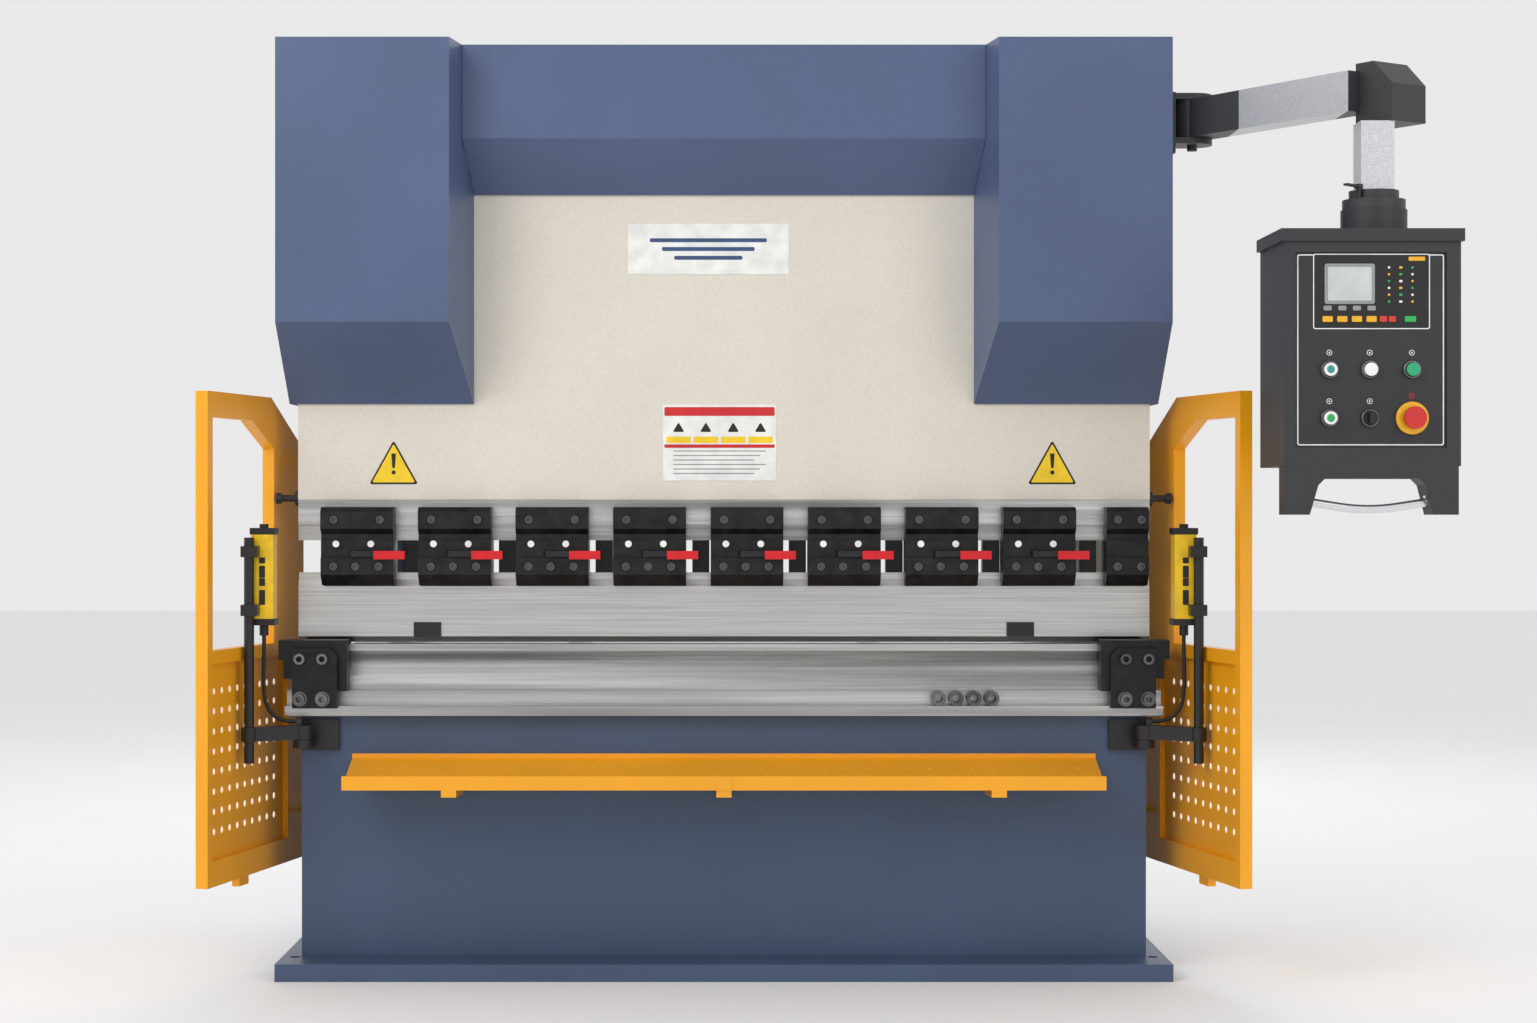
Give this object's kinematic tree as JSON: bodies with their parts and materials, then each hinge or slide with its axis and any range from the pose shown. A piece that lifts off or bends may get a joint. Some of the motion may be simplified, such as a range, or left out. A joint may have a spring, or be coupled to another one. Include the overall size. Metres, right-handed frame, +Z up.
{
  "type": "press brake",
  "caption": "Hydraulic press brake with a moving ram, quick clamps, a four-way die, hinged side guards, swing-out light curtains and a pendant control on a swivel arm.",
  "frame": {"origin": "on the floor, at the middle of the width, under the bending line", "axes": "+X to the operator's right, +Y to the back, +Z up"},
  "size_m": [2.3784, 1.366, 1.88],
  "materials": {
    "casting_blue": "satin painted blue",
    "cream": "satin painted cream",
    "guard_yellow": "satin painted yellow",
    "unit_yellow": "satin painted bright yellow",
    "machined_steel": "ground and brushed",
    "black_oxide": "black oxide, semi-matt",
    "screw_steel": "zinc plated",
    "chrome": "polished",
    "aluminium": "satin anodised",
    "lever_red": "satin",
    "pendant_grey": "fine textured paint",
    "panel_face": "matt film",
    "black_rubber": "matt",
    "cabinet_grey": "fine textured paint",
    "motor_grey": "painted casting",
    "button_teal": "gloss",
    "button_white": "gloss",
    "button_green": "gloss",
    "button_red": "gloss"
  },
  "bodies": {
    "frame": {"base_plates": "casting_blue", "side_frames": "casting_blue", "bed_plate": "casting_blue", "cross_ties": "casting_blue", "table_plate": "machined_steel", "die_rail": "machined_steel", "four_way_die": "machined_steel", "die_end_brackets": "black_oxide", "table_screws": "screw_steel", "front_tray": "guard_yellow", "cylinder_covers": "casting_blue", "centre_cover": "casting_blue", "cylinder_barrels": "black_oxide", "guide_rails": "machined_steel", "oil_tank": "casting_blue", "pump_motor": "motor_grey", "hydraulic_manifold": "screw_steel", "electrical_cabinet": "cabinet_grey", "torsion_bearings": "black_oxide", "backgauge_rails": "machined_steel", "curtain_brackets": "black_oxide", "guard_hinges": "guard_yellow", "arm_bracket": "pendant_grey"},
    "ram": {"ram": "cream", "tool_bar": "machined_steel", "tool_clamps": "black_oxide", "clamp_screws": "screw_steel", "punch": "machined_steel", "piston_rods": "chrome", "ram_end_arms": "black_oxide"},
    "clamp_lever_1": {"clamp_lever_1": "lever_red"},
    "clamp_lever_2": {"clamp_lever_2": "lever_red"},
    "clamp_lever_3": {"clamp_lever_3": "lever_red"},
    "clamp_lever_4": {"clamp_lever_4": "lever_red"},
    "clamp_lever_5": {"clamp_lever_5": "lever_red"},
    "clamp_lever_6": {"clamp_lever_6": "lever_red"},
    "clamp_lever_7": {"clamp_lever_7": "lever_red"},
    "clamp_lever_8": {"clamp_lever_8": "lever_red"},
    "torsion_bar": {"torsion_bar": "screw_steel"},
    "backgauge": {"backgauge_beam": "aluminium"},
    "cabinet_door": {"cabinet_door": "cabinet_grey"},
    "main_switch": {"main_switch": "button_red"},
    "left_guard": {"left_guard": "guard_yellow"},
    "left_curtain": {"left_curtain_arm": "black_oxide", "left_curtain_unit": "unit_yellow", "left_curtain_cable": "black_rubber"},
    "right_guard": {"right_guard": "guard_yellow"},
    "right_curtain": {"right_curtain_arm": "black_oxide", "right_curtain_unit": "unit_yellow", "right_curtain_cable": "black_rubber"},
    "pendant_arm": {"pendant_arm": "aluminium"},
    "pendant": {"pendant_box": "pendant_grey", "pendant_panel": "panel_face"},
    "lock_lever": {"lock_lever": "black_oxide"},
    "start_button": {"start_button": "button_teal"},
    "light_button": {"light_button": "button_white"},
    "reset_button": {"reset_button": "button_green"},
    "power_button": {"power_button": "button_white"},
    "selector_switch": {"selector_switch": "black_oxide"},
    "emergency_stop": {"emergency_stop": "button_red"}
  },
  "joints": [
    {"name": "ram_slide", "type": "slide", "parent": "frame", "child": "ram", "axis": [0, 0, 1], "range_m": [0, 0.1]},
    {"name": "clamp_lever_1_turn", "type": "hinge", "parent": "ram", "child": "clamp_lever_1", "pos_m": [-0.753, -0.062, 0.853], "axis": [0, 0, -1], "range_deg": [0, 90]},
    {"name": "clamp_lever_2_turn", "type": "hinge", "parent": "ram", "child": "clamp_lever_2", "pos_m": [-0.5545, -0.062, 0.853], "axis": [0, 0, -1], "range_deg": [0, 90]},
    {"name": "clamp_lever_3_turn", "type": "hinge", "parent": "ram", "child": "clamp_lever_3", "pos_m": [-0.356, -0.062, 0.853], "axis": [0, 0, -1], "range_deg": [0, 90]},
    {"name": "clamp_lever_4_turn", "type": "hinge", "parent": "ram", "child": "clamp_lever_4", "pos_m": [-0.1575, -0.062, 0.853], "axis": [0, 0, -1], "range_deg": [0, 90]},
    {"name": "clamp_lever_5_turn", "type": "hinge", "parent": "ram", "child": "clamp_lever_5", "pos_m": [0.041, -0.062, 0.853], "axis": [0, 0, -1], "range_deg": [0, 90]},
    {"name": "clamp_lever_6_turn", "type": "hinge", "parent": "ram", "child": "clamp_lever_6", "pos_m": [0.2395, -0.062, 0.853], "axis": [0, 0, -1], "range_deg": [0, 90]},
    {"name": "clamp_lever_7_turn", "type": "hinge", "parent": "ram", "child": "clamp_lever_7", "pos_m": [0.438, -0.062, 0.853], "axis": [0, 0, -1], "range_deg": [0, 90]},
    {"name": "clamp_lever_8_turn", "type": "hinge", "parent": "ram", "child": "clamp_lever_8", "pos_m": [0.6365, -0.062, 0.853], "axis": [0, 0, -1], "range_deg": [0, 90]},
    {"name": "torsion_turn", "type": "hinge", "parent": "frame", "child": "torsion_bar", "pos_m": [0, 0.23, 1.25], "axis": [1, 0, 0], "range_deg": [-38.13, 0]},
    {"name": "backgauge_travel", "type": "slide", "parent": "frame", "child": "backgauge", "axis": [0, 1, 0], "range_m": [0, 0.2]},
    {"name": "cabinet_door_hinge", "type": "hinge", "parent": "frame", "child": "cabinet_door", "pos_m": [0.871, 0.6675, 0.8], "axis": [0, 0, 1], "range_deg": [0, 110]},
    {"name": "main_switch_turn", "type": "hinge", "parent": "cabinet_door", "child": "main_switch", "pos_m": [0.88, 0.46, 0.97], "axis": [1, 0, 0], "range_deg": [0, 90]},
    {"name": "left_guard_hinge", "type": "hinge", "parent": "frame", "child": "left_guard", "pos_m": [-0.899, 0.19, 0.7], "axis": [0, 0, -1], "range_deg": [0, 75]},
    {"name": "left_curtain_swing", "type": "hinge", "parent": "frame", "child": "left_curtain", "pos_m": [-0.85, -0.112, 0.494], "axis": [0, 0, 1], "range_deg": [0, 80]},
    {"name": "right_guard_hinge", "type": "hinge", "parent": "frame", "child": "right_guard", "pos_m": [0.899, 0.19, 0.7], "axis": [0, 0, 1], "range_deg": [0, 75]},
    {"name": "right_curtain_swing", "type": "hinge", "parent": "frame", "child": "right_curtain", "pos_m": [0.85, -0.112, 0.494], "axis": [0, 0, -1], "range_deg": [0, 80]},
    {"name": "pendant_arm_swing", "type": "hinge", "parent": "frame", "child": "pendant_arm", "pos_m": [0.943, -0.12, 1.726], "axis": [0, 0, 1], "range_deg": [-40, 5]},
    {"name": "pendant_swivel", "type": "hinge", "parent": "pendant_arm", "child": "pendant", "pos_m": [1.21195, -0.5248, 1.5], "axis": [0, 0, 1], "range_deg": [-90, 90]},
    {"name": "lock_lever_turn", "type": "hinge", "parent": "pendant_arm", "child": "lock_lever", "pos_m": [1.175, -0.562, 1.53], "axis": [0, 0, 1], "range_deg": [-30, 45]},
    {"name": "start_button_press", "type": "slide", "parent": "pendant", "child": "start_button", "axis": [0, 1, 0], "range_m": [0, 0.004], "stiffness_N_per_m": 600, "springref_m": -0.002},
    {"name": "light_button_press", "type": "slide", "parent": "pendant", "child": "light_button", "axis": [0, 1, 0], "range_m": [0, 0.004], "stiffness_N_per_m": 600, "springref_m": -0.002},
    {"name": "reset_button_press", "type": "slide", "parent": "pendant", "child": "reset_button", "axis": [0, 1, 0], "range_m": [0, 0.004], "stiffness_N_per_m": 600, "springref_m": -0.002},
    {"name": "power_button_press", "type": "slide", "parent": "pendant", "child": "power_button", "axis": [0, 1, 0], "range_m": [0, 0.004], "stiffness_N_per_m": 600, "springref_m": -0.002},
    {"name": "selector_turn", "type": "hinge", "parent": "pendant", "child": "selector_switch", "pos_m": [1.183, -0.62, 1.11], "axis": [0, 1, 0], "range_deg": [-45, 45]},
    {"name": "emergency_stop_press", "type": "slide", "parent": "pendant", "child": "emergency_stop", "axis": [0, 1, 0], "range_m": [0, 0.005]}
  ],
  "couplings": [
    {"joint": "torsion_turn", "follows": "ram_slide", "rad_per_m": -6.62}
  ]
}
